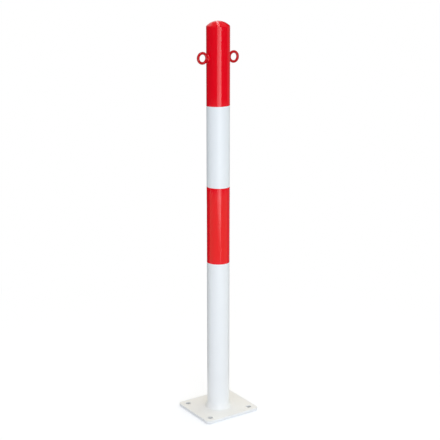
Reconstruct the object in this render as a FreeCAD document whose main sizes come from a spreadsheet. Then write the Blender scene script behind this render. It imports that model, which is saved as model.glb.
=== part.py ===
import FreeCAD, Part
import math
import os
import Sketcher

# Bolt-down barrier post: a steel tube welded on a drilled base plate and closed by a pressed dome,
# with a ring of round bar on each side for a chain.
# Millimetres. +Z is up, +X runs along the plate's length through the right chain eye, and the origin
# is the centre of the plate's underside.

SIZES = {
    # Base plate, cut from flat steel
    "plate_length": 166,
    "plate_width": 150,
    "plate_thickness": 8,
    "plate_corner_radius": 11,
    "plate_edge_radius": 0.8,
    "bolt_edge_distance": 20,
    "bolt_hole_diameter": 14,
    "bolt_hole_chamfer": 0.5,
    "drain_hole_diameter": 20,
    # Tube and the fillet weld round its foot
    "tube_diameter": 60,
    "tube_wall": 2.5,
    "tube_length": 1020,
    "base_weld_leg_out": 7,
    "base_weld_leg_up": 15,
    "base_weld_face_radius": 28,
    # Pressed cap on the tube's end, with a groove weld ground flush
    "cap_wall": 3,
    "cap_rim_height": 3,
    "cap_dome_rise": 13,
    "cap_shoulder_radius": 2,
    "cap_weld_depth": 1.5,
    # Chain eyes, hung below the tube's top end, and the beads that hold them
    "eye_bar_diameter": 7,
    "eye_inner_diameter": 18,
    "eye_drop": 75,
    "eye_root_gap": 1.2,
    "eye_weld_leg": 2.2,
    "eye_weld_height": 18,
}

# Sizes and places that follow from the driving dimensions
TUBE_RADIUS = "sizes.tube_diameter / 2"
TUBE_TOP = "sizes.plate_thickness + sizes.tube_length"
HOLE_PITCH_X = "sizes.plate_length - 2 * sizes.bolt_edge_distance"
HOLE_PITCH_Y = "sizes.plate_width - 2 * sizes.bolt_edge_distance"
EYE_RING_RADIUS = "(sizes.eye_inner_diameter + sizes.eye_bar_diameter) / 2"
EYE_CENTRE_OUT = (
    "sizes.tube_diameter / 2 + sizes.eye_root_gap"
    " + sizes.eye_bar_diameter + sizes.eye_inner_diameter / 2"
)
EYE_CENTRE_UP = "sizes.plate_thickness + sizes.tube_length - sizes.eye_drop"

doc = FreeCAD.newDocument("barrier_post")
sheet = doc.addObject("Spreadsheet::Sheet", "sizes")
for row, (alias, number) in enumerate(SIZES.items(), start=1):
    sheet.set(f"A{row}", alias)
    sheet.set(f"B{row}", str(number))
    sheet.setAlias(f"B{row}", alias)
doc.recompute()


def value(expression):
    """Number that an expression over the sheet gives now."""
    return float(sheet.evalExpression(expression))


def new_body(label):
    """Empty body that becomes the sub-part of that name."""
    body = doc.addObject("PartDesign::Body", label)
    body.Label = label
    return body


def new_sketch(body, name, plane_role):
    """Sketch on one of the body's own origin planes."""
    sketch = body.newObject("Sketcher::SketchObject", name)
    planes = [feature for feature in body.Origin.OriginFeatures if feature.Role == plane_role]
    sketch.AttachmentSupport = [(planes[0], "")]
    sketch.MapMode = "FlatFace"
    return sketch


def add_feature(body, kind, name, **properties):
    """PartDesign feature with its plain properties set."""
    feature = body.newObject(f"PartDesign::{kind}", name)
    for prop, setting in properties.items():
        setattr(feature, prop, setting)
    return feature


def dimension(sketch, expression, kind, *where):
    """Dimensional constraint that follows the sheet."""
    index = sketch.addConstraint(Sketcher.Constraint(kind, *where, value(expression)))
    sketch.setExpression(f"Constraints[{index}]", expression)


def constrain(sketch, kind, *where):
    """Geometric constraint."""
    sketch.addConstraint(Sketcher.Constraint(kind, *where))


# Sketch references: the points of a line, arc or circle, counted from one, and the sketch's two axes,
# counted down from minus one, of which the first starts at the origin
START, END, CENTRE = range(1, 4)
H_AXIS, V_AXIS = range(-1, -3, -1)
ORIGIN = (H_AXIS, START)


def add_line(sketch, start, end):
    """Line between two (x, y) points."""
    return sketch.addGeometry(Part.LineSegment(FreeCAD.Vector(*start), FreeCAD.Vector(*end)))


def add_circle(sketch, centre, diameter_expression):
    """Circle with a diameter that follows the sheet."""
    radius = value(diameter_expression) / 2
    circle = Part.Circle(FreeCAD.Vector(*centre), FreeCAD.Vector(0, 0, 1), radius)
    index = sketch.addGeometry(circle)
    dimension(sketch, diameter_expression, "Diameter", index)
    return index


def add_arc(sketch, centre, start, end):
    """Arc that runs anticlockwise about a centre from one point to another."""
    radius = math.dist(centre, start)
    start_angle = math.atan2(start[1] - centre[1], start[0] - centre[0])
    end_angle = math.atan2(end[1] - centre[1], end[0] - centre[0])
    circle = Part.Circle(FreeCAD.Vector(*centre), FreeCAD.Vector(0, 0, 1), radius)
    return sketch.addGeometry(Part.ArcOfCircle(circle, start_angle, end_angle))


def join(sketch, *pairs):
    """Coincident constraints between (geometry, point) pairs."""
    for first, second in pairs:
        constrain(sketch, "Coincident", *first, *second)


def centred_rectangle(sketch, length_expression, width_expression):
    """Rectangle with its middle on the origin; returns its four lines, anticlockwise."""
    x = value(length_expression) / 2
    y = value(width_expression) / 2
    corners = [(-x, -y), (x, -y), (x, y), (-x, y)]
    sides = [add_line(sketch, corners[i], corners[(i + 1) % 4]) for i in range(4)]
    for i in range(4):
        join(sketch, ((sides[i], END), (sides[(i + 1) % 4], START)))
    for i in (0, 2):
        constrain(sketch, "Horizontal", sides[i])
    for i in (1, 3):
        constrain(sketch, "Vertical", sides[i])
    constrain(sketch, "Symmetric", sides[0], START, sides[2], START, *ORIGIN)
    dimension(sketch, length_expression, "DistanceX", sides[0], START, sides[0], END)
    dimension(sketch, width_expression, "DistanceY", sides[1], START, sides[1], END)
    return sides


def centred_ring(sketch, outer_expression, inner_expression):
    """Two circles about the origin."""
    for expression in (outer_expression, inner_expression):
        circle = add_circle(sketch, (0, 0), expression)
        join(sketch, ((circle, CENTRE), ORIGIN))


def edge_names(feature, wanted):
    """Names of the feature's edges that pass a test."""
    return [f"Edge{i}" for i, edge in enumerate(feature.Shape.Edges, start=1) if wanted(edge)]


def add_edge_feature(body, kind, name, base, wanted, size_property, expression):
    """Fillet or chamfer of the base feature's edges that pass a test."""
    doc.recompute()
    feature = add_feature(body, kind, name, Base=(base, edge_names(base, wanted)))
    feature.setExpression(size_property, expression)
    return feature


def add_through_holes(body, name, sketch):
    """Pocket through the whole plate, cutting upwards from the underside."""
    doc.recompute()
    volume_before = body.Shape.Volume
    pocket = add_feature(body, "Pocket", name, Profile=sketch, Type="ThroughAll", Reversed=True)
    doc.recompute()
    if body.Shape.Volume >= volume_before:
        raise RuntimeError(f"{name} cuts nothing")
    return pocket


def same_length(first, second):
    """True for two lengths that are equal to a millionth of a millimetre."""
    return math.isclose(first, second, abs_tol=1e-6)


def is_upright(edge):
    """True for an edge along Z."""
    box = edge.BoundBox
    return box.ZLength > max(box.XLength, box.YLength)


def is_circle(edge, diameter_expression):
    """True for a circular edge of that diameter."""
    if not isinstance(edge.Curve, Part.Circle):
        return False
    return same_length(2 * edge.Curve.Radius, value(diameter_expression))


def make_base_plate():
    """Flat plate with rounded corners, four bolt holes and the tube's drain hole."""
    body = new_body("base_plate")
    outline = new_sketch(body, "plate_outline", "XY_Plane")
    centred_rectangle(outline, "sizes.plate_length", "sizes.plate_width")
    slab = add_feature(body, "Pad", "plate_slab", Profile=outline)
    slab.setExpression("Length", "sizes.plate_thickness")
    corners = add_edge_feature(
        body, "Fillet", "plate_corners", slab, is_upright, "Radius", "sizes.plate_corner_radius"
    )
    add_edge_feature(
        body, "Fillet", "plate_edges", corners, lambda edge: not is_upright(edge),
        "Radius", "sizes.plate_edge_radius"
    )

    bolt_holes = new_sketch(body, "bolt_hole_centres", "XY_Plane")
    sides = centred_rectangle(bolt_holes, HOLE_PITCH_X, HOLE_PITCH_Y)
    for side in sides:
        bolt_holes.setConstruction(side, True)
        corner = bolt_holes.getPoint(side, START)
        circle = add_circle(bolt_holes, (corner.x, corner.y), "sizes.bolt_hole_diameter")
        join(bolt_holes, ((circle, CENTRE), (side, START)))
    drilled = add_through_holes(body, "bolt_holes", bolt_holes)
    add_edge_feature(
        body, "Chamfer", "bolt_hole_rims", drilled,
        lambda edge: is_circle(edge, "sizes.bolt_hole_diameter"),
        "Size", "sizes.bolt_hole_chamfer"
    )

    drain_hole = new_sketch(body, "drain_hole_centre", "XY_Plane")
    circle = add_circle(drain_hole, (0, 0), "sizes.drain_hole_diameter")
    join(drain_hole, ((circle, CENTRE), ORIGIN))
    add_through_holes(body, "drain_hole", drain_hole)
    return body


def make_post_tube():
    """Round tube on the plate, with its upper rim bevelled for the cap's weld."""
    body = new_body("post_tube")
    section = new_sketch(body, "tube_section", "XY_Plane")
    centred_ring(section, "sizes.tube_diameter", "sizes.tube_diameter - 2 * sizes.tube_wall")
    wall = add_feature(body, "Pad", "tube_wall_pad", Profile=section)
    wall.setExpression("Length", "sizes.tube_length")

    def is_upper_rim(edge):
        at_top = same_length(edge.BoundBox.ZMin, value("sizes.tube_length"))
        return at_top and is_circle(edge, "sizes.tube_diameter")

    add_edge_feature(body, "Chamfer", "tube_bevel", wall, is_upper_rim, "Size", "sizes.cap_weld_depth")
    body.setExpression("Placement.Base.z", "sizes.plate_thickness")
    return body


def make_base_weld():
    """Hollow-faced fillet weld that flares from the tube's foot onto the plate."""
    body = new_body("base_weld")
    profile = new_sketch(body, "base_weld_profile", "XZ_Plane")
    inner = value(TUBE_RADIUS)
    leg_out = value("sizes.base_weld_leg_out")
    leg_up = value("sizes.base_weld_leg_up")
    face_radius = value("sizes.base_weld_face_radius")
    root = (inner, 0)
    toe = (inner + leg_out, 0)
    upper = (inner, leg_up)
    face_length = math.hypot(leg_out, leg_up)
    stand_off = math.sqrt(face_radius**2 - (face_length / 2) ** 2)
    centre = (
        inner + leg_out / 2 + stand_off * leg_up / face_length,
        leg_up / 2 + stand_off * leg_out / face_length,
    )
    on_tube = add_line(profile, upper, root)
    on_plate = add_line(profile, root, toe)
    face = add_arc(profile, centre, upper, toe)
    join(
        profile,
        ((on_tube, END), (on_plate, START)),
        ((on_plate, END), (face, END)),
        ((face, START), (on_tube, START)),
    )
    constrain(profile, "Vertical", on_tube)
    constrain(profile, "PointOnObject", on_plate, START, H_AXIS)
    constrain(profile, "PointOnObject", on_plate, END, H_AXIS)
    dimension(profile, TUBE_RADIUS, "DistanceX", *ORIGIN, on_plate, START)
    dimension(profile, "sizes.base_weld_leg_out", "DistanceX", on_plate, START, on_plate, END)
    dimension(profile, "sizes.base_weld_leg_up", "DistanceY", on_tube, END, on_tube, START)
    dimension(profile, "sizes.base_weld_face_radius", "Radius", face)
    add_feature(
        body, "Revolution", "base_weld_turn", Profile=profile, ReferenceAxis=(profile, ["V_Axis"])
    )
    body.setExpression("Placement.Base.z", "sizes.plate_thickness")
    return body


def make_dome_cap():
    """Pressed dome of even wall with a short upright rim, bevelled below and ground round above."""
    body = new_body("dome_cap")
    profile = new_sketch(body, "cap_profile", "XZ_Plane")
    outer = value(TUBE_RADIUS)
    bevel = value("sizes.cap_weld_depth")
    rim = value("sizes.cap_rim_height")
    rise = value("sizes.cap_dome_rise")
    wall = value("sizes.cap_wall")
    sphere = (outer**2 + rise**2) / (2 * rise)
    centre = (0, rim + rise - sphere)
    landing_inner = (outer - wall, 0)
    landing_outer = (outer - bevel, 0)
    skirt_high = (outer - wall, centre[1] + math.sqrt((sphere - wall) ** 2 - (outer - wall) ** 2))
    rim_low = (outer, bevel)
    rim_high = (outer, rim)
    crown = (0, rim + rise)
    crown_inside = (0, rim + rise - wall)
    bevel_line = add_line(profile, landing_outer, rim_low)
    rim_line = add_line(profile, rim_low, rim_high)
    dome = add_arc(profile, centre, rim_high, crown)
    axis_line = add_line(profile, crown, crown_inside)
    inside = add_arc(profile, centre, skirt_high, crown_inside)
    skirt = add_line(profile, skirt_high, landing_inner)
    landing = add_line(profile, landing_inner, landing_outer)
    join(
        profile,
        ((bevel_line, END), (rim_line, START)),
        ((rim_line, END), (dome, START)),
        ((dome, END), (axis_line, START)),
        ((axis_line, END), (inside, END)),
        ((inside, START), (skirt, START)),
        ((skirt, END), (landing, START)),
        ((landing, END), (bevel_line, START)),
        ((inside, CENTRE), (dome, CENTRE)),
    )
    constrain(profile, "Vertical", rim_line)
    constrain(profile, "Vertical", skirt)
    constrain(profile, "PointOnObject", axis_line, START, V_AXIS)
    constrain(profile, "PointOnObject", axis_line, END, V_AXIS)
    constrain(profile, "PointOnObject", dome, CENTRE, V_AXIS)
    constrain(profile, "PointOnObject", landing, START, H_AXIS)
    constrain(profile, "PointOnObject", landing, END, H_AXIS)
    dimension(profile, TUBE_RADIUS, "DistanceX", *ORIGIN, rim_line, START)
    dimension(profile, "sizes.cap_weld_depth", "DistanceX", bevel_line, START, bevel_line, END)
    dimension(profile, "sizes.cap_weld_depth", "DistanceY", *ORIGIN, rim_line, START)
    dimension(profile, "sizes.cap_rim_height", "DistanceY", *ORIGIN, rim_line, END)
    dimension(profile, "sizes.cap_dome_rise", "DistanceY", rim_line, END, axis_line, START)
    dimension(profile, "sizes.cap_wall", "DistanceY", axis_line, END, axis_line, START)
    dimension(profile, f"{TUBE_RADIUS} - sizes.cap_wall", "DistanceX", *ORIGIN, landing, START)
    shell = add_feature(
        body, "Revolution", "cap_turn", Profile=profile, ReferenceAxis=(profile, ["V_Axis"])
    )

    def is_shoulder(edge):
        at_rim = same_length(edge.BoundBox.ZMin, value("sizes.cap_rim_height"))
        return at_rim and is_circle(edge, "sizes.tube_diameter")

    add_edge_feature(
        body, "Fillet", "cap_shoulder", shell, is_shoulder, "Radius", "sizes.cap_shoulder_radius"
    )
    body.setExpression("Placement.Base.z", TUBE_TOP)
    return body


def make_cap_weld():
    """Ring of weld metal that fills the groove between the two bevels, flush with the tube."""
    body = new_body("cap_weld")
    profile = new_sketch(body, "cap_weld_profile", "XZ_Plane")
    outer = value(TUBE_RADIUS)
    depth = value("sizes.cap_weld_depth")
    corners = [(outer - depth, 0), (outer, -depth), (outer, depth)]
    lower, face, upper = [add_line(profile, corners[i], corners[(i + 1) % 3]) for i in range(3)]
    join(
        profile,
        ((lower, END), (face, START)),
        ((face, END), (upper, START)),
        ((upper, END), (lower, START)),
    )
    constrain(profile, "Symmetric", face, START, face, END, H_AXIS)
    constrain(profile, "PointOnObject", lower, START, H_AXIS)
    dimension(profile, TUBE_RADIUS, "DistanceX", *ORIGIN, face, START)
    dimension(profile, "sizes.cap_weld_depth", "DistanceX", lower, START, lower, END)
    dimension(profile, "2 * sizes.cap_weld_depth", "DistanceY", face, START, face, END)
    add_feature(
        body, "Revolution", "cap_weld_turn", Profile=profile, ReferenceAxis=(profile, ["V_Axis"])
    )
    body.setExpression("Placement.Base.z", TUBE_TOP)
    return body


def make_chain_eye(side, sign):
    """Closed ring of round bar in the upright plane through the tube's axis."""
    body = new_body(f"chain_eye_{side}")
    section = new_sketch(body, f"eye_{side}_section", "XY_Plane")
    circle = add_circle(section, (value(EYE_RING_RADIUS), 0), "sizes.eye_bar_diameter")
    constrain(section, "PointOnObject", circle, CENTRE, H_AXIS)
    dimension(section, EYE_RING_RADIUS, "DistanceX", *ORIGIN, circle, CENTRE)
    add_feature(
        body, "Revolution", f"eye_{side}_bend", Profile=section, ReferenceAxis=(section, ["V_Axis"])
    )
    body.setExpression("Placement.Base.x", f"{sign} * ({EYE_CENTRE_OUT})")
    body.setExpression("Placement.Base.z", EYE_CENTRE_UP)
    return body


def make_eye_weld(side, sign):
    """Bead between ring and tube: a long drop of metal, less what the tube and the bar fill."""
    # The closed surfaces are turned so that their seams stay out of the bead
    half_turn = FreeCAD.Rotation(FreeCAD.Vector(0, 0, 1), 180)
    quarter_turn = FreeCAD.Rotation(FreeCAD.Vector(0, 0, 1), 90)
    upright = FreeCAD.Rotation(FreeCAD.Vector(1, 0, 0), 90)

    drop = doc.addObject("Part::Ellipsoid", f"eye_weld_{side}_drop")
    drop.Angle1 = -90
    drop.Angle2 = 90
    drop.Angle3 = 360
    drop.setExpression("Radius1", "sizes.eye_weld_height / 2")
    drop.setExpression("Radius2", "sizes.eye_root_gap + (sizes.eye_bar_diameter + sizes.eye_weld_leg) / 2")
    drop.setExpression("Radius3", "sizes.eye_bar_diameter / 2 + sizes.eye_weld_leg")
    if sign > 0:
        drop.Placement.Rotation = half_turn
    drop.setExpression("Placement.Base.x", f"{sign} * {TUBE_RADIUS}")
    drop.setExpression("Placement.Base.z", EYE_CENTRE_UP)

    tube = doc.addObject("Part::Cylinder", f"eye_weld_{side}_tube")
    tube.setExpression("Radius", TUBE_RADIUS)
    tube.setExpression("Height", "sizes.tube_length")
    tube.Placement.Rotation = quarter_turn
    tube.setExpression("Placement.Base.z", "sizes.plate_thickness")

    bar = doc.addObject("Part::Torus", f"eye_weld_{side}_bar")
    bar.setExpression("Radius1", EYE_RING_RADIUS)
    bar.setExpression("Radius2", "sizes.eye_bar_diameter / 2")
    bar.Placement.Rotation = upright if sign > 0 else half_turn * upright
    bar.setExpression("Placement.Base.x", f"{sign} * ({EYE_CENTRE_OUT})")
    bar.setExpression("Placement.Base.z", EYE_CENTRE_UP)

    outside_tube = doc.addObject("Part::Cut", f"eye_weld_{side}_outside_tube")
    outside_tube.Base = drop
    outside_tube.Tool = tube
    bead = doc.addObject("Part::Cut", f"eye_weld_{side}")
    bead.Base = outside_tube
    bead.Tool = bar
    bead.Label = f"eye_weld_{side}"
    return bead


sub_parts = [
    make_base_plate(),
    make_post_tube(),
    make_base_weld(),
    make_dome_cap(),
    make_cap_weld(),
]
for eye_side, eye_sign in (("left", -1), ("right", 1)):
    sub_parts.append(make_chain_eye(eye_side, eye_sign))
    sub_parts.append(make_eye_weld(eye_side, eye_sign))
doc.recompute()

for item in doc.Objects:
    if "Invalid" in item.State or "Error" in item.State:
        raise RuntimeError(f"{item.Label} failed: {item.State}")
for item in sub_parts:
    if item.Shape.isNull() or not item.Shape.isValid() or len(item.Shape.Solids) != 1:
        raise RuntimeError(f"{item.Label} isn't one sound solid")

os.makedirs("parts", exist_ok=True)
for item in sub_parts:
    item.Shape.exportStep(f"parts/{item.Label}.step")
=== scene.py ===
import math

import bmesh
import bpy
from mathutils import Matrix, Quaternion, Vector


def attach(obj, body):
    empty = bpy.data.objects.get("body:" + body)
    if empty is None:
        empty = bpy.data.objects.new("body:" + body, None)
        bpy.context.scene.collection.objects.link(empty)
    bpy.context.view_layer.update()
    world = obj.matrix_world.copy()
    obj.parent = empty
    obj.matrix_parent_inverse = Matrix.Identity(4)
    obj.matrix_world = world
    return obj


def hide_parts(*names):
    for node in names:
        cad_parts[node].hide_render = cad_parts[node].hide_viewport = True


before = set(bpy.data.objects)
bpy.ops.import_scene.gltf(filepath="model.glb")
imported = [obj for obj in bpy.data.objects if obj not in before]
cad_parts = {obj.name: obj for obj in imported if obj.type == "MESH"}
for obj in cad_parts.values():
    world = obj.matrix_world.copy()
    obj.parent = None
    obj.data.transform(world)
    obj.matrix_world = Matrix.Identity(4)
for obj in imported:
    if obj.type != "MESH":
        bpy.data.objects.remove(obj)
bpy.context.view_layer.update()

# A painted steel barrier post. Sizes are in millimetres and become metres where a mesh is made.
MM = 0.001
SEGMENTS = 192
SHARP_ANGLE = math.radians(38)

# Sizes shared with the solids
TUBE_OUTER = 30.0
TUBE_INNER = 27.5
TUBE_BOTTOM = 8.0
TUBE_TOP = 1028.0
CAP_WELD_DEPTH = 1.5
CAP_WALL = 3.0
CAP_RIM_TOP = TUBE_TOP + 3.0
CAP_RISE = 13.0
CAP_SHOULDER = 2.0
EYE_HEIGHT = 953.0
FOOT_WELD_OUT = 7.0
FOOT_WELD_UP = 15.0
FOOT_WELD_RADIUS = 28.0

# Paint: the red coat lies over the white one, its back a little inside the tube's face so that no gap
# shows, and its masked edges are never quite straight
COAT = 0.12
COAT_SUNK = 0.05
TOP_EDGE = 831.9
BAND_LOW = 418.3
BAND_HIGH = 621.4

# Camera, from the lines of the photograph: it stands off the post's front at this angle
CAMERA_TURN = math.radians(33.98)
CAMERA_DISTANCE = 2545.4
CAMERA_ASIDE = 4.7
CAMERA_HEIGHT = 1176.9
CAMERA_PITCH = math.radians(14.233)
SENSOR_WIDTH = 36.0
FOCAL_LENGTH_PIXELS = 1003.2
PICTURE_PIXELS = 440.0


def studio(right, away, up):
    """Point in metres from millimetres to the camera's right, away from it and up, about the post's foot."""
    cosine = math.cos(CAMERA_TURN)
    sine = math.sin(CAMERA_TURN)
    return Vector((right * cosine + away * sine, away * cosine - right * sine, up)) * MM


def waves(angle, terms):
    """Sum of sines round the post, from (order, amplitude, phase) terms."""
    return sum(size * math.sin(order * angle + phase) for order, size, phase in terms)


def new_object(name, data):
    """Object with that data, placed in the scene."""
    made = bpy.data.objects.new(name, data)
    bpy.context.scene.collection.objects.link(made)
    return made


# Procedural paints

PAINT_IOR = 1.43
# Sockets of the Mix node's two colours and of its mixed colour, which share their names with others
MIX_FIRST = 6
MIX_SECOND = 7
MIX_RESULT = 2


def new_material(name):
    """Node material and its tree."""
    material = bpy.data.materials.new(name)
    material.use_nodes = True
    return material, material.node_tree


def add_node(tree, kind, inputs=None, **properties):
    """Shader node with its properties and plain inputs set."""
    node = tree.nodes.new(kind)
    for name, setting in properties.items():
        setattr(node, name, setting)
    for name, setting in (inputs or {}).items():
        node.inputs[name].default_value = setting
    return node


def add_noise(tree, coordinates, scale, detail):
    """Noise in object space, with its scale in waves a metre."""
    noise = add_node(tree, "ShaderNodeTexNoise", {"Scale": scale, "Detail": detail})
    tree.links.new(coordinates, noise.inputs["Vector"])
    return noise.outputs["Fac"]


def make_paint(name, shades, roughness, peel):
    """Sprayed paint: cloudy tone between two shades, uneven gloss, orange peel and a slow waviness."""
    material, tree = new_material(name)
    shader = tree.nodes["Principled BSDF"]
    shader.inputs["IOR"].default_value = PAINT_IOR
    coordinates = add_node(tree, "ShaderNodeTexCoord").outputs["Object"]

    tone = add_node(tree, "ShaderNodeMix", data_type="RGBA")
    for socket, shade in zip((MIX_FIRST, MIX_SECOND), shades):
        tone.inputs[socket].default_value = (*shade, 1.0)
    tree.links.new(add_noise(tree, coordinates, scale=14.0, detail=3.0), tone.inputs["Factor"])
    tree.links.new(tone.outputs[MIX_RESULT], shader.inputs["Base Color"])

    gloss = add_node(tree, "ShaderNodeMapRange", {"To Min": roughness[0], "To Max": roughness[1]})
    tree.links.new(add_noise(tree, coordinates, scale=45.0, detail=4.0), gloss.inputs["Value"])
    tree.links.new(gloss.outputs["Result"], shader.inputs["Roughness"])

    wavy = add_node(tree, "ShaderNodeBump", {"Strength": 0.25, "Distance": 0.0004})
    tree.links.new(add_noise(tree, coordinates, scale=38.0, detail=1.0), wavy.inputs["Height"])
    fine = add_node(tree, "ShaderNodeBump", {"Strength": peel, "Distance": 0.00008})
    tree.links.new(add_noise(tree, coordinates, scale=620.0, detail=2.0), fine.inputs["Height"])
    tree.links.new(wavy.outputs["Normal"], fine.inputs["Normal"])
    tree.links.new(fine.outputs["Normal"], shader.inputs["Normal"])
    return material


white_paint = make_paint(
    "white_paint", shades=((0.80, 0.832, 0.862), (0.83, 0.862, 0.892)), roughness=(0.30, 0.42), peel=0.5
)
red_paint = make_paint(
    "red_paint", shades=((0.78, 0.0006, 0.009), (0.84, 0.0012, 0.012)), roughness=(0.10, 0.18), peel=0.35
)
# The rings share the tube's red coat; this darker copy of it is painted shade on them
shaded_ring_paint = make_paint(
    "shaded_ring_paint", shades=((0.50, 0.0015, 0.007), (0.56, 0.003, 0.010)), roughness=(0.10, 0.18), peel=0.35
)


# Meshes


def finish_mesh(name, vertices, faces, material, replaced=()):
    """Smooth, closed piece from millimetre points, riding on the post."""
    mesh = bpy.data.meshes.new(name)
    mesh.from_pydata([Vector(point) * MM for point in vertices], [], faces)
    shell = bmesh.new()
    shell.from_mesh(mesh)
    bmesh.ops.recalc_face_normals(shell, faces=shell.faces)
    shell.to_mesh(mesh)
    shell.free()
    mesh.shade_smooth()
    mesh.set_sharp_from_angle(angle=SHARP_ANGLE)
    mesh.materials.append(material)
    piece = new_object(name, mesh)
    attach(piece, "root")
    if replaced:
        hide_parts(*replaced)


def turned_grid(rows, closed):
    """Vertices and faces through rows of points round the axis.

    Closed rows run back from the last to the first; open ones get a fan on the axis at either end.
    """
    count = len(rows[0])
    vertices = [point for row in rows for point in row]
    faces = []
    spans = len(rows) if closed else len(rows) - 1
    for i in range(spans):
        low = i * count
        high = (i + 1) % len(rows) * count
        for k in range(count):
            n = (k + 1) % count
            faces.append((low + k, low + n, high + n, high + k))
    if not closed:
        for first, row in ((0, rows[0]), (len(vertices) - count, rows[-1])):
            pole = len(vertices)
            vertices.append((0.0, 0.0, sum(point[2] for point in row) / count))
            for k in range(count):
                faces.append((first + k, first + (k + 1) % count, pole))
    return vertices, faces


def turned_row(place, *details, segments=SEGMENTS):
    """One row round the axis, from a function of the angle and any details that gives radius and height."""
    row = []
    for k in range(segments):
        angle = 2 * math.pi * k / segments
        radius, height = place(angle, *details)
        row.append((radius * math.cos(angle), radius * math.sin(angle), height))
    return row


def even_point(angle, radius, height):
    """The same radius and height at every angle."""
    return radius, height


def arc_points(centre, radius, start, end, steps):
    """Points (radius, height) along an arc, angles in degrees from the horizontal."""
    points = []
    for i in range(steps + 1):
        angle = math.radians(start + (end - start) * i / steps)
        points.append((centre[0] + radius * math.cos(angle), centre[1] + radius * math.sin(angle)))
    return points


def make_tube():
    """White-coated tube, open at both ends, with the bevel that the cap's weld fills."""
    outline = (
        (TUBE_INNER, TUBE_BOTTOM),
        (TUBE_OUTER, TUBE_BOTTOM),
        (TUBE_OUTER, TUBE_TOP - CAP_WELD_DEPTH),
        (TUBE_OUTER - CAP_WELD_DEPTH, TUBE_TOP),
        (TUBE_INNER, TUBE_TOP),
    )
    rows = [turned_row(even_point, *point) for point in outline]
    vertices, faces = turned_grid(rows, closed=True)
    finish_mesh("tube_white", vertices, faces, white_paint, ["post_tube"])


def masked_edge(level, tilt, terms):
    """Height of a masked paint edge round the tube: level, with a lean to the camera's right and a wander."""
    camera_right = -CAMERA_TURN
    return lambda angle: level + tilt * math.cos(angle - camera_right) + waves(angle, terms)


def coat_lip(edge, sign):
    """Rows of a coat's rounded lip at a masked edge, from the tube's face outwards; sign 1 faces down."""
    def lip_point(angle, off, rise):
        """Point of the lip, so far off the tube's face and so far in from the masked edge."""
        return TUBE_OUTER + off, edge(angle) + sign * rise

    profile = ((-COAT_SUNK, 0.0), (0.4 * COAT, 0.02), (0.8 * COAT, 0.10), (COAT, 0.35))
    return [turned_row(lip_point, off, rise) for off, rise in profile]


def coat_rows(low, high, shares):
    """Rows of a coat's face at shares of the way from one height round the tube to another."""
    def face_point(angle, share):
        """Point of the face at one share."""
        return TUBE_OUTER + COAT, low(angle) + share * (high(angle) - low(angle))

    return [turned_row(face_point, share) for share in shares]


def make_red_band():
    """Red coat round the middle of the tube."""
    low = masked_edge(BAND_LOW, tilt=0.1, terms=((3, 0.07, 0.4), (7, 0.04, 2.1), (16, 0.02, 5.0)))
    high = masked_edge(BAND_HIGH, tilt=-0.1, terms=((2, 0.07, 1.7), (9, 0.04, 0.3), (19, 0.02, 3.2)))
    rows = coat_lip(low, sign=1)
    rows += coat_rows(low, high, shares=(0.2, 0.4, 0.6, 0.8))
    rows += reversed(coat_lip(high, sign=-1))
    vertices, faces = turned_grid(rows, closed=True)
    finish_mesh("red_band", vertices, faces, red_paint)


def make_red_top():
    """Red coat over the tube's top, the ground cap weld and the dome, with the dome's inside below it."""
    sphere = (TUBE_OUTER**2 + CAP_RISE**2) / (2 * CAP_RISE)
    sphere_height = CAP_RIM_TOP + CAP_RISE - sphere
    # The arcs stop just short of the axis, where the grid closes them
    near_pole = 89.0
    # The shoulder's arc runs without a break from the rim's upright face into the sphere
    shoulder_radius = TUBE_OUTER - CAP_SHOULDER
    reach = sphere - CAP_SHOULDER
    shoulder_height = sphere_height + math.sqrt(reach**2 - shoulder_radius**2)
    meet = math.degrees(math.acos(shoulder_radius / reach))
    shoulder = arc_points((shoulder_radius, shoulder_height), CAP_SHOULDER, start=0.0, end=meet, steps=8)
    dome = arc_points((0.0, sphere_height), sphere, start=meet, end=near_pole, steps=26)[1:]
    weld_low = TUBE_TOP - CAP_WELD_DEPTH
    above_weld = TUBE_TOP + 1.2
    rim = [(TUBE_OUTER, height) for height in (weld_low, TUBE_TOP, above_weld)]

    mean_cut = 0.15
    cut_fade = 5.0
    cut_onset = 3.0
    cut_terms = ((5, 0.050, 0.3), (8, 0.045, 1.9), (13, 0.035, 4.4), (21, 0.015, 2.2))

    def ground_off(angle, height):
        """Depth that grinding by hand took off: uneven, deepest at the shoulder and none below the weld."""
        from_shoulder = (height - shoulder_height) / cut_fade
        onset = min(max((height - weld_low) / cut_onset, 0.0), 1.0)
        return onset * math.exp(-from_shoulder * from_shoulder) * (mean_cut + waves(angle, cut_terms))

    def coated_point(angle, radius, height):
        """Point of the coat, which thins out to the dome's middle; grinding lowers it by half its depth."""
        out = min(1.0, radius / TUBE_OUTER)
        depth = ground_off(angle, height)
        return radius + COAT * out**4 - depth, height - depth / 2

    skirt = TUBE_OUTER - CAP_WALL
    skirt_top = TUBE_TOP + 1.0
    past_skirt = 48.0
    inside = arc_points((0.0, sphere_height), sphere - CAP_WALL, start=near_pole, end=past_skirt, steps=12)
    inside = [point for point in inside if point[0] < skirt]
    inside += [(skirt, skirt_top), (skirt, TUBE_TOP), (TUBE_OUTER - CAP_WELD_DEPTH, TUBE_TOP)]
    inside += [(TUBE_OUTER - COAT_SUNK, weld_low)]

    edge = masked_edge(TOP_EDGE, tilt=0.7, terms=((2, 0.08, 2.6), (5, 0.04, 0.9), (17, 0.02, 4.1)))
    rows = [turned_row(even_point, *point) for point in inside]
    rows += coat_lip(edge, sign=1)
    rows += coat_rows(edge, lambda angle: TUBE_TOP, shares=(0.15, 0.35, 0.55, 0.75, 0.92))
    rows += [turned_row(coated_point, *point) for point in rim + shoulder + dome]
    vertices, faces = turned_grid(rows, closed=False)
    finish_mesh("red_top", vertices, faces, red_paint, ["dome_cap", "cap_weld"])


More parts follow.
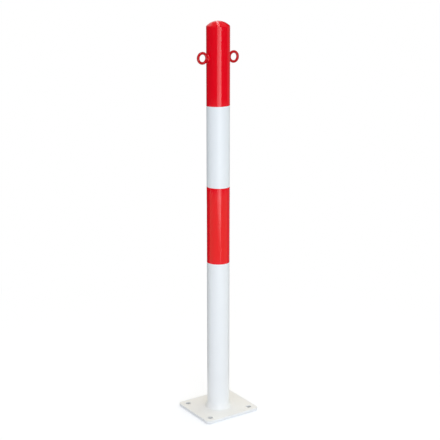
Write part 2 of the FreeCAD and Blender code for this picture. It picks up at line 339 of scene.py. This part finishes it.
def make_base_weld():
    """Fillet bead round the tube's foot: hollow face, soft ripples that lag outwards, uneven toes."""
    face_length = math.hypot(FOOT_WELD_OUT, FOOT_WELD_UP)
    hollow = FOOT_WELD_RADIUS - math.sqrt(FOOT_WELD_RADIUS**2 - (face_length / 2) ** 2)
    ripple_height = 0.06
    ripples = 54
    lag = 2.2
    # The toes stop short of the solid's by these, so that their wander stays inside it
    short_out = 0.4
    short_up = 0.7
    sunk_radius = TUBE_OUTER - 0.6
    sunk_top = TUBE_BOTTOM + 0.9 * FOOT_WELD_UP
    steps = 14

    def face_point(angle, share):
        """Point of the face, from its upper edge at share 0 to its toe on the plate at share 1."""
        wander = waves(angle, ((3, 0.20, 0.8), (7, 0.15, 2.9), (11, 0.12, 5.1)))
        ripple = ripple_height * math.sin(math.pi * share) * math.sin(ripples * angle - lag * share)
        depth = 4 * hollow * share * (1 - share) - ripple
        # The toe wanders half as far as the upper edge
        out = (FOOT_WELD_OUT - short_out + wander / 2) * share - depth * FOOT_WELD_UP / face_length
        up = (FOOT_WELD_UP - short_up + wander) * (1 - share) - depth * FOOT_WELD_OUT / face_length
        return TUBE_OUTER + out, TUBE_BOTTOM + up

    def bead_row(place, *details):
        """Row with points enough for the ripples."""
        return turned_row(place, *details, segments=2 * SEGMENTS)

    rows = [bead_row(even_point, sunk_radius, sunk_top)]
    rows += [bead_row(face_point, i / steps) for i in range(steps + 1)]
    rows += [bead_row(even_point, sunk_radius, TUBE_BOTTOM)]
    vertices, faces = turned_grid(rows, closed=True)
    finish_mesh("base_weld_bead", vertices, faces, white_paint, ["base_weld"])


def make_eye_weld(side, sign):
    """Bead that joins a ring to the tube: a long drop with soft ripples, flat where it sinks in."""
    half_height = 9.0
    half_width = 5.6
    stand_off = 4.5
    sunk = 1.2
    ripple_share = 0.035
    radians_per_mm = 1.9
    lag = 1.2
    rings = 40
    around = 48
    rows = []
    for i in range(1, rings):
        polar = math.pi * i / rings
        rise = half_height * math.cos(polar)
        row = []
        for k in range(around):
            angle = 2 * math.pi * k / around
            wave = math.sin(radians_per_mm * rise + lag * math.cos(angle))
            ripple = 1.0 + ripple_share * wave * math.sin(polar)
            out = max(stand_off * math.sin(polar) * math.cos(angle) * ripple, -sunk)
            wide = half_width * math.sin(polar) * math.sin(angle) * ripple
            row.append((sign * (TUBE_OUTER + out), wide, EYE_HEIGHT + rise))
        rows.append(row)
    vertices, faces = turned_grid(rows, closed=False)
    # The grid's last two points, its poles, move from the axis to the drop's two ends
    vertices[-2:] = [(sign * TUBE_OUTER, 0.0, EYE_HEIGHT + end) for end in (half_height, -half_height)]
    name = f"eye_weld_bead_{side}"
    finish_mesh(name, vertices, faces, red_paint, [f"eye_weld_{side}"])


make_tube()
make_red_band()
make_red_top()
make_base_weld()
for eye_side, eye_sign in (("left", -1), ("right", 1)):
    make_eye_weld(eye_side, eye_sign)

# The rings take the darker copy of the red: painted shade
cad_paints = {"base_plate": white_paint, "chain_eye_left": shaded_ring_paint, "chain_eye_right": shaded_ring_paint}
for node_name, paint in cad_paints.items():
    node_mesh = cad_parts[node_name].data
    node_mesh.materials.clear()
    node_mesh.materials.append(paint)


# Studio

WHITE = (1.0, 1.0, 1.0)


def seen_share(tree):
    """1 for camera, glossy and transmission rays, 0 for the rest."""
    path = add_node(tree, "ShaderNodeLightPath")
    total = path.outputs["Is Camera Ray"]
    for ray in ("Is Glossy Ray", "Is Transmission Ray"):
        largest = add_node(tree, "ShaderNodeMath", operation="MAXIMUM")
        tree.links.new(total, largest.inputs[0])
        tree.links.new(path.outputs[ray], largest.inputs[1])
        total = largest.outputs[0]
    return total


def add_emission(tree, colour, strength=1.0):
    """Node of light with that colour."""
    return add_node(tree, "ShaderNodeEmission", {"Color": (*colour, 1.0), "Strength": strength})


def add_shaders(tree, first, second):
    """Sum of two shaders."""
    total = add_node(tree, "ShaderNodeAddShader")
    tree.links.new(first, total.inputs[0])
    tree.links.new(second, total.inputs[1])
    return total.outputs[0]


def mix_shaders(tree, share, first, second):
    """Blend that shows the first shader at share 0 and the second at share 1."""
    blend = add_node(tree, "ShaderNodeMixShader")
    tree.links.new(share, blend.inputs["Fac"])
    tree.links.new(first, blend.inputs[1])
    tree.links.new(second, blend.inputs[2])
    return blend.outputs[0]


def add_lobe(tree, axis, colour):
    """Light that grows from nothing, well off the axis, to its colour on the axis."""
    start_cosine = 0.3
    lean = add_node(tree, "ShaderNodeVectorMath", operation="DOT_PRODUCT")
    lean.inputs[1].default_value = axis
    tree.links.new(add_node(tree, "ShaderNodeTexCoord").outputs["Generated"], lean.inputs[0])
    growth = add_node(tree, "ShaderNodeMapRange", {"From Min": start_cosine})
    tree.links.new(lean.outputs["Value"], growth.inputs["Value"])
    lobe = add_node(tree, "ShaderNodeBackground", {"Color": (*colour, 1.0)})
    tree.links.new(growth.outputs["Result"], lobe.inputs["Strength"])
    return lobe.outputs[0]


def make_world():
    """White to look at; as light it is cool in front, dimmer at the sides and warm above and behind."""
    # Each lobe's axis, as a point about a metre from the foot, and its colour
    lobes = (
        (studio(0, -940, 340), (0.78, 0.78, 0.85)),
        (studio(950, 0, 310), (0.71, 0.73, 0.66)),
        (studio(0, 600, 800), (1.40, 1.24, 1.01)),
        (studio(-670, -670, 330), (0.36, 0.37, 0.34)),
    )
    world = bpy.data.worlds.new("studio")
    bpy.context.scene.world = world
    world.use_nodes = True
    tree = world.node_tree
    light, *others = [add_lobe(tree, axis, colour) for axis, colour in lobes]
    for other in others:
        light = add_shaders(tree, light, other)
    plain = tree.nodes["Background"]
    plain.inputs["Color"].default_value = (*WHITE, 1.0)
    shown = mix_shaders(tree, seen_share(tree), light, plain.outputs[0])
    tree.links.new(shown, tree.nodes["World Output"].inputs["Surface"])


def stage_mesh(name, vertices, faces, material):
    """Stage piece from points in metres."""
    mesh = bpy.data.meshes.new(name)
    mesh.from_pydata(vertices, [], faces)
    mesh.materials.append(material)
    piece = new_object(name, mesh)
    return piece


def make_level_sheet(name, half_length, half_width, level, material):
    """Level stage sheet about the post's axis, from sizes in millimetres."""
    corners = ((-1, -1), (1, -1), (1, 1), (-1, 1))
    vertices = [Vector((x * half_length, y * half_width, level)) * MM for x, y in corners]
    stage_mesh(name, vertices, [(0, 1, 2, 3)], material)


def make_floor():
    """Pale floor that takes the post's shadow and runs out into plain white."""
    half_size = 60000.0
    level = -0.2
    lift_strength = 0.38
    material, tree = new_material("studio_floor")
    tree.nodes.remove(tree.nodes["Principled BSDF"])
    seen = seen_share(tree)

    # Near the post, a lit floor that is lifted towards white where it is seen
    lit = add_node(tree, "ShaderNodeBsdfDiffuse", {"Color": (0.59, 0.63, 0.70, 1.0)})
    lift = add_node(tree, "ShaderNodeMath", operation="MULTIPLY")
    lift.inputs[1].default_value = lift_strength
    tree.links.new(seen, lift.inputs[0])
    glow = add_emission(tree, WHITE)
    tree.links.new(lift.outputs[0], glow.inputs["Strength"])
    near = add_shaders(tree, lit.outputs[0], glow.outputs[0])

    # Further out, even white where it is seen and a cool light for the rest
    far_light = add_emission(tree, (0.49, 0.58, 0.66))
    far_seen = add_emission(tree, WHITE)
    far = mix_shaders(tree, seen, far_light.outputs[0], far_seen.outputs[0])

    length = add_node(tree, "ShaderNodeVectorMath", operation="LENGTH")
    tree.links.new(add_node(tree, "ShaderNodeTexCoord").outputs["Object"], length.inputs[0])
    metres_out = {"From Min": 0.5, "From Max": 1.3}
    away = add_node(tree, "ShaderNodeMapRange", metres_out, interpolation_type="SMOOTHSTEP")
    tree.links.new(length.outputs["Value"], away.inputs["Value"])
    surface = mix_shaders(tree, away.outputs["Result"], near, far)
    tree.links.new(surface, tree.nodes["Material Output"].inputs["Surface"])
    make_level_sheet("studio_floor", half_size, half_size, level, material)


def make_hole_shade_pad():
    """Dark pad between floor and plate, seen only at the bottom of the plate's holes: painted shade in their
    depths.
    """
    material, tree = new_material("hole_shade_pad")
    shader = tree.nodes["Principled BSDF"]
    shader.inputs["Base Color"].default_value = (0.10, 0.10, 0.10, 1.0)
    shader.inputs["Roughness"].default_value = 0.9
    make_level_sheet("hole_shade_pad", half_length=75.0, half_width=67.0, level=-0.1, material=material)


def make_reflected(name, vertices, faces, brightness, tint=WHITE):
    """Stage piece of even brightness that only the gloss reflects."""
    material, tree = new_material(name)
    tree.nodes.remove(tree.nodes["Principled BSDF"])
    glow = add_emission(tree, tint, brightness)
    tree.links.new(glow.outputs[0], tree.nodes["Material Output"].inputs["Surface"])
    piece = stage_mesh(name, vertices, faces, material)
    piece.visible_camera = False
    piece.visible_diffuse = False
    piece.visible_transmission = False
    piece.visible_shadow = False


def upright_panels(plan, foot, head, closed=False):
    """Vertices and faces of panels along a plan of (right, away) points, from foot height to head height."""
    count = len(plan)
    vertices = [studio(right, away, height) for height in (foot, head) for right, away in plan]
    faces = []
    for k in range(count if closed else count - 1):
        n = (k + 1) % count
        faces.append((k, n, count + n, count + k))
    return vertices, faces


def make_room():
    """Dark walls, nearest behind the post, and a grey ceiling."""
    plan = (
        (-2000, -3700), (2000, -3700), (4100, -900), (4100, 300), (1900, 500), (1500, 1300),
        (900, 2400), (-900, 2400), (-900, 900), (-1250, 200), (-4100, 100), (-4100, -900),
    )
    count = len(plan)
    vertices, walls = upright_panels(plan, foot=0, head=2900, closed=True)
    make_reflected("studio_walls", vertices, walls, brightness=0.012)
    make_reflected("studio_ceiling", vertices[count:], [tuple(range(count))], brightness=0.28)


def make_pale_screen():
    """Pale screen behind the post to its left, above its top, that the dome reflects along its back edge."""
    plan = ((300, 2300), (-850, 2300), (-850, 900), (-1200, 250), (-2500, 150))
    vertices, panels = upright_panels(plan, foot=1150, head=2850)
    make_reflected("pale_screen", vertices, panels, brightness=0.9)


def make_warm_sheet():
    """Warm sheet on the floor round the post's front, which the lower red band reflects."""
    inner = 1100
    outer = 3400
    half_sweep = 110
    above_floor = 1
    steps = 16
    vertices = []
    for i in range(steps + 1):
        angle = math.radians(-half_sweep + 2 * half_sweep * i / steps)
        for radius in (inner, outer):
            vertices.append(studio(radius * math.sin(angle), -radius * math.cos(angle), above_floor))
    faces = [(2 * i, 2 * i + 1, 2 * i + 3, 2 * i + 2) for i in range(steps)]
    make_reflected("warm_sheet", vertices, faces, brightness=1.0, tint=(0.95, 0.85, 0.52))


def make_edge_cards():
    """Grey cards close behind the post, left and right, that darken the reflections along its edges."""
    for name, sign, brightness in (("left_card", -1, 0.05), ("right_card", 1, 0.30)):
        plan = ((sign * 260, 20), (sign * 110, 240))
        vertices, panels = upright_panels(plan, foot=0, head=1100)
        make_reflected(name, vertices, panels, brightness)


def add_softbox(name, place, target, size, radiance, roll=0.0, only_gloss=False):
    """Rectangular white lamp of even radiance, aimed at a point, with its size in metres.

    It is turned clockwise about its aim by roll degrees. One with only_gloss shows in the gloss and gives
    no other light.
    """
    lamp = bpy.data.lights.new(name, "AREA")
    lamp.shape = "RECTANGLE"
    lamp.size, lamp.size_y = size
    lamp.energy = radiance * math.pi * size[0] * size[1]
    holder = new_object(name, lamp)
    holder.location = place
    aim = (target - place).to_track_quat("-Z", "Y")
    holder.rotation_euler = (aim @ Quaternion((0.0, 0.0, 1.0), -math.radians(roll))).to_euler()
    holder.visible_camera = False
    holder.visible_diffuse = not only_gloss


def make_lamps():
    """Softbox at the front right, and strips that shape its highlight on the tube, the foot and the dome."""
    tube_middle = studio(0, 0, 650)
    tube_foot = studio(0, 0, 115)
    before_dome = studio(59, -200, 1000)
    add_softbox(
        "front_softbox", studio(380, -1950, 650), tube_middle,
        size=(1.346, 1.27), radiance=2.3, roll=10,
    )
    add_softbox(
        "front_strip", studio(696, -1940, 650), tube_middle,
        size=(0.65, 1.27), radiance=1.95, roll=10, only_gloss=True,
    )
    add_softbox(
        "low_strip", studio(446, -1000, 115), tube_foot,
        size=(0.07, 0.23), radiance=2.8, only_gloss=True,
    )
    add_softbox(
        "top_strip", studio(50, -100, 2700), before_dome,
        size=(0.20, 4.4), radiance=5.0, only_gloss=True,
    )


def make_camera():
    """Camera where the photograph's stood."""
    data = bpy.data.cameras.new("camera")
    data.sensor_width = SENSOR_WIDTH
    data.lens = SENSOR_WIDTH * FOCAL_LENGTH_PIXELS / PICTURE_PIXELS
    camera = new_object("camera", data)
    camera.location = studio(CAMERA_ASIDE, -CAMERA_DISTANCE, CAMERA_HEIGHT)
    camera.rotation_euler = (math.pi / 2 - CAMERA_PITCH, 0.0, -CAMERA_TURN)
    bpy.context.scene.camera = camera


make_camera()
make_world()
make_floor()
# Dark pad under the plate: painted shade in the bolt holes
make_hole_shade_pad()
make_room()
make_pale_screen()
make_warm_sheet()
make_edge_cards()
make_lamps()
bpy.context.scene.view_settings.view_transform = "Standard"
